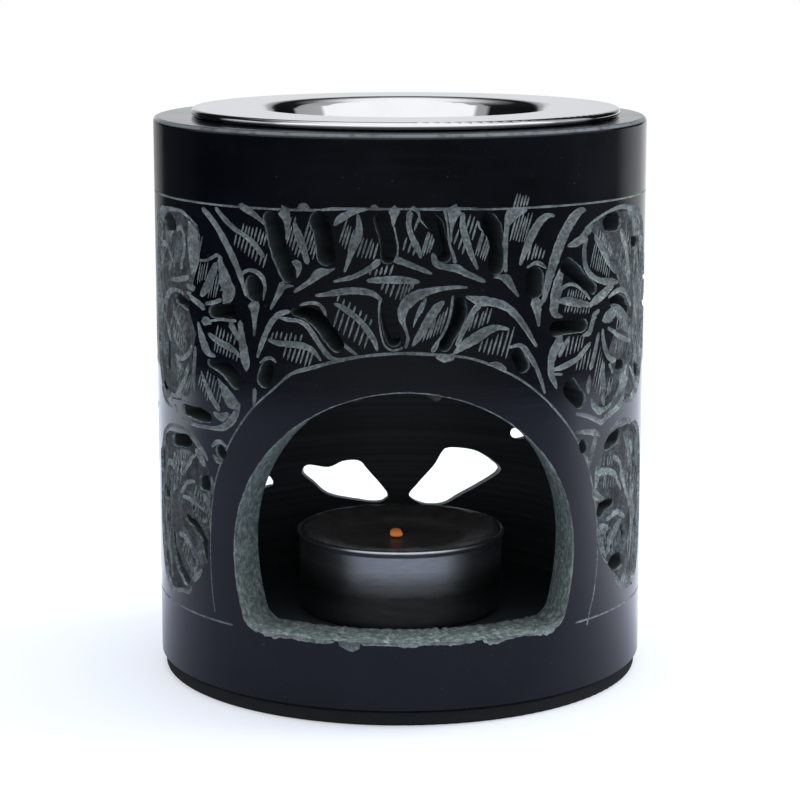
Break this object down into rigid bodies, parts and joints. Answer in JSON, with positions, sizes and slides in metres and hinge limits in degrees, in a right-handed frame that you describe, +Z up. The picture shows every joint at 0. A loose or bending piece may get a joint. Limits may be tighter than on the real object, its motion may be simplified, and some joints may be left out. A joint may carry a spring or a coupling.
{
  "type": "essential oil burner",
  "caption": "Cylindrical carved stone oil burner with an arched mouth, pierced vine walls, a loose metal dish on its rim and a tealight inside.",
  "frame": {"origin": "centre of the underside of the base pad, on the axis of the stone cylinder", "axes": "+Z up along the axis of the cylinder, -Y out of the arched mouth, +X to the right as seen from the mouth"},
  "size_m": [0.09, 0.09, 0.104],
  "materials": {
    "polished_stone": "polished",
    "pad_felt": "matte",
    "dish_metal": "polished",
    "cup_aluminium": "satin",
    "candle_wax": "satin",
    "wick_cotton": "matte",
    "sustainer_tin": "satin"
  },
  "bodies": {
    "stone": {"stone_body": "polished_stone", "base_pad": "pad_felt"},
    "dish": {"oil_dish": "dish_metal"},
    "tealight": {"tealight_cup": "cup_aluminium", "tealight_wax": "candle_wax", "tealight_wick": "wick_cotton", "wick_sustainer": "sustainer_tin"}
  },
  "joints": [
    {"name": "dish_lift", "type": "slide", "parent": "stone", "child": "dish", "axis": [0, 0, 1], "range_m": [0, 0.05]},
    {"name": "tealight_slide", "type": "slide", "parent": "stone", "child": "tealight", "axis": [0, -0.927, 0.375], "range_m": [0, 0.07]}
  ]
}
